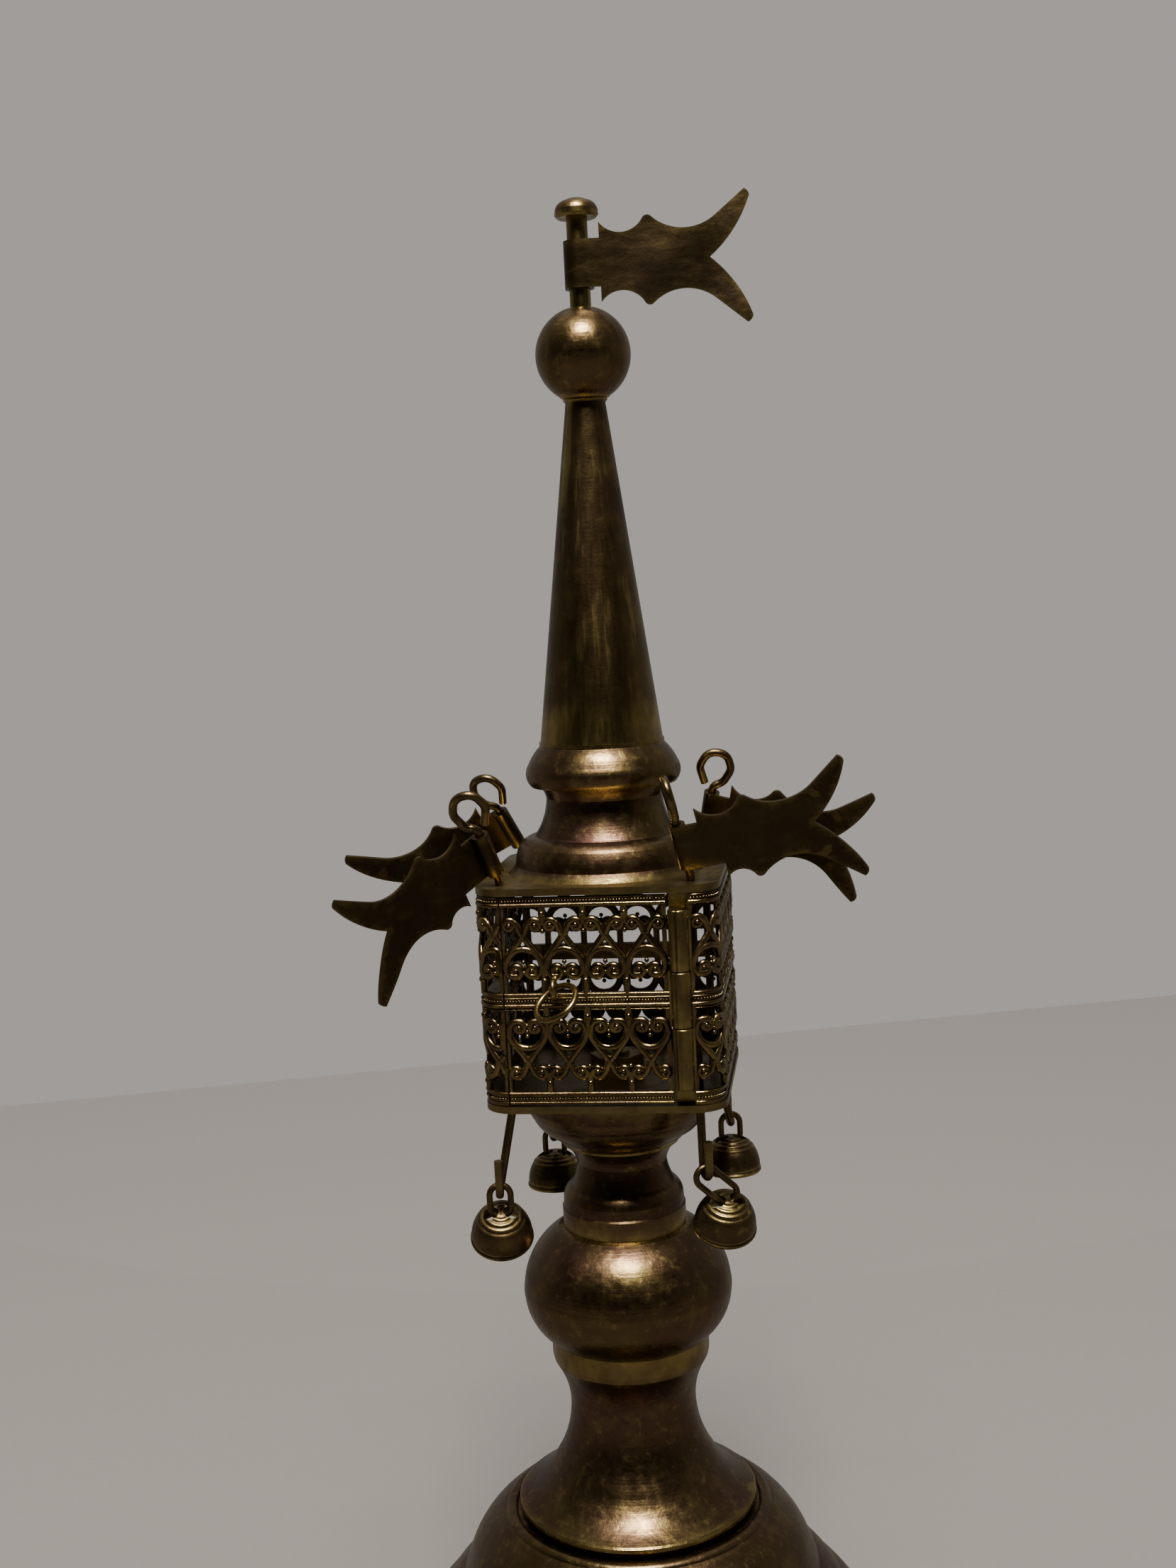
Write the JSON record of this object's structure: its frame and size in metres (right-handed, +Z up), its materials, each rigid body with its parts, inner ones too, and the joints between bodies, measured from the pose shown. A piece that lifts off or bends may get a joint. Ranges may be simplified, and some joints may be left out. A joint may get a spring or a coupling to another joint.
{
  "type": "spice tower",
  "caption": "Turned brass tower with a pierced box and hinged door on a stem, a tall spire, swallow-tailed pennants on pins and small bells on wire hooks.",
  "frame": {"origin": "centre of the foot's resting face, on the axis of the turned stem", "axes": "+Z up along the stem and spire, -Y out through the door's front, +X towards the door's hinge"},
  "size_m": [0.0641, 0.06, 0.1744],
  "materials": {
    "turned_brass": "satin, aged",
    "cast_brass": "pierced casting, worn bright on the ridges",
    "pennant_brass": "dull sheet with an olive brown tarnish",
    "wire_brass": "drawn wire, tarnished",
    "bell_brass": "spun, satin, tarnished",
    "fastener_brass": "plain"
  },
  "bodies": {
    "tower": {"base_foot": "turned_brass", "base_neck": "turned_brass", "knop": "turned_brass", "stem": "turned_brass", "cup": "turned_brass", "tie_rod": "fastener_brass", "base_nut": "fastener_brass", "floor_nut": "fastener_brass", "floor_plate": "turned_brass", "roof_plate": "turned_brass", "corner_post_front_left": "cast_brass", "corner_post_front_right": "cast_brass", "corner_post_back_right": "cast_brass", "corner_post_back_left": "cast_brass", "wall_left": "cast_brass", "wall_right": "cast_brass", "wall_back": "cast_brass", "case_knuckle_lower": "cast_brass", "case_knuckle_upper": "cast_brass", "hinge_pin": "fastener_brass", "roof_dome": "turned_brass", "spire": "turned_brass", "spire_stud": "fastener_brass", "ceiling_nut": "fastener_brass", "ball": "turned_brass", "finial_pin": "wire_brass", "finial_cap": "turned_brass", "corner_rod_front_left": "wire_brass", "corner_rod_front_right": "wire_brass", "corner_rod_back_right": "wire_brass", "corner_rod_back_left": "wire_brass"},
    "door": {"door_panel": "cast_brass", "door_knuckle": "cast_brass", "door_eye": "wire_brass"},
    "pull": {"door_ring": "wire_brass"},
    "top_pennant": {"flag_top": "pennant_brass"},
    "pennant_front_left": {"flag_front_left": "pennant_brass"},
    "link_front_left": {"link_front_left": "wire_brass"},
    "bell_front_left": {"bell_front_left": "bell_brass"},
    "pennant_front_right": {"flag_front_right": "pennant_brass"},
    "link_front_right": {"link_front_right": "wire_brass"},
    "bell_front_right": {"bell_front_right": "bell_brass"},
    "pennant_back_right": {"flag_back_right": "pennant_brass"},
    "link_back_right": {"link_back_right": "wire_brass"},
    "bell_back_right": {"bell_back_right": "bell_brass"},
    "pennant_back_left": {"flag_back_left": "pennant_brass"},
    "link_back_left": {"link_back_left": "wire_brass"},
    "bell_back_left": {"bell_back_left": "bell_brass"}
  },
  "joints": [
    {"name": "door_hinge", "type": "hinge", "parent": "tower", "child": "door", "pos_m": [0.0093, -0.0138, 0.0853], "axis": [0, 0, 1], "range_deg": [0, 160]},
    {"name": "pull_swing", "type": "hinge", "parent": "door", "child": "pull", "pos_m": [-0.0047, -0.01472, 0.0869], "axis": [-0.8829, 0, -0.4695], "range_deg": [-60, 48]},
    {"name": "top_pennant_spin", "type": "hinge", "parent": "tower", "child": "top_pennant", "pos_m": [0, 0, 0.167], "axis": [0, 0, 1], "continuous": true},
    {"name": "pennant_swing_front_left", "type": "hinge", "parent": "tower", "child": "pennant_front_left", "pos_m": [-0.01179, -0.01219, 0.10178], "axis": [-0.2204, -0.4145, 0.8829], "range_deg": [-32, 8]},
    {"name": "link_swing_front_left", "type": "hinge", "parent": "tower", "child": "link_front_left", "pos_m": [-0.0126, -0.0122, 0.0636], "axis": [0.9781, 0.2079, 0], "range_deg": [-20, 20]},
    {"name": "bell_swing_front_left", "type": "hinge", "parent": "link_front_left", "child": "bell_front_left", "pos_m": [-0.0126, -0.0122, 0.0599], "axis": [0.9781, 0.2079, 0], "range_deg": [-58, 2]},
    {"name": "pennant_swing_front_right", "type": "hinge", "parent": "tower", "child": "pennant_front_right", "pos_m": [0.00993, -0.01167, 0.10208], "axis": [-0.1812, -0.29, 0.9397], "range_deg": [-35, 28]},
    {"name": "link_swing_front_right", "type": "hinge", "parent": "tower", "child": "link_front_right", "pos_m": [0.0111, -0.0122, 0.0657], "axis": [0.9272, 0.3746, 0], "range_deg": [-20, 20]},
    {"name": "bell_swing_front_right", "type": "hinge", "parent": "link_front_right", "child": "bell_front_right", "pos_m": [0.01323, -0.01134, 0.06108], "axis": [0.9272, 0.3746, 0], "range_deg": [-49, 1]},
    {"name": "pennant_swing_back_right", "type": "hinge", "parent": "tower", "child": "pennant_back_right", "pos_m": [0.0115, 0.00904, 0.10305], "axis": [0.1873, -0.3244, 0.9272], "range_deg": [-8, 50]},
    {"name": "link_swing_back_right", "type": "hinge", "parent": "tower", "child": "link_back_right", "pos_m": [0.0123, 0.012, 0.0643], "axis": [-0.9659, -0.2588, 0], "range_deg": [-20, 20]},
    {"name": "bell_swing_back_right", "type": "hinge", "parent": "link_back_right", "child": "bell_back_right", "pos_m": [0.0123, 0.012, 0.0606], "axis": [-0.9659, -0.2588, 0], "range_deg": [-30, 30]},
    {"name": "pennant_swing_back_left", "type": "hinge", "parent": "tower", "child": "pennant_back_left", "pos_m": [-0.01322, 0.00896, 0.10175], "axis": [-0.3207, -0.4581, 0.829], "range_deg": [-45, 12]},
    {"name": "link_swing_back_left", "type": "hinge", "parent": "tower", "child": "link_back_left", "pos_m": [-0.0102, 0.0122, 0.0624], "axis": [-0.9962, -0.0872, 0], "range_deg": [-20, 20]},
    {"name": "bell_swing_back_left", "type": "hinge", "parent": "link_back_left", "child": "bell_back_left", "pos_m": [-0.0102, 0.0122, 0.0587], "axis": [-0.9962, -0.0872, 0], "range_deg": [-30, 30]}
  ]
}
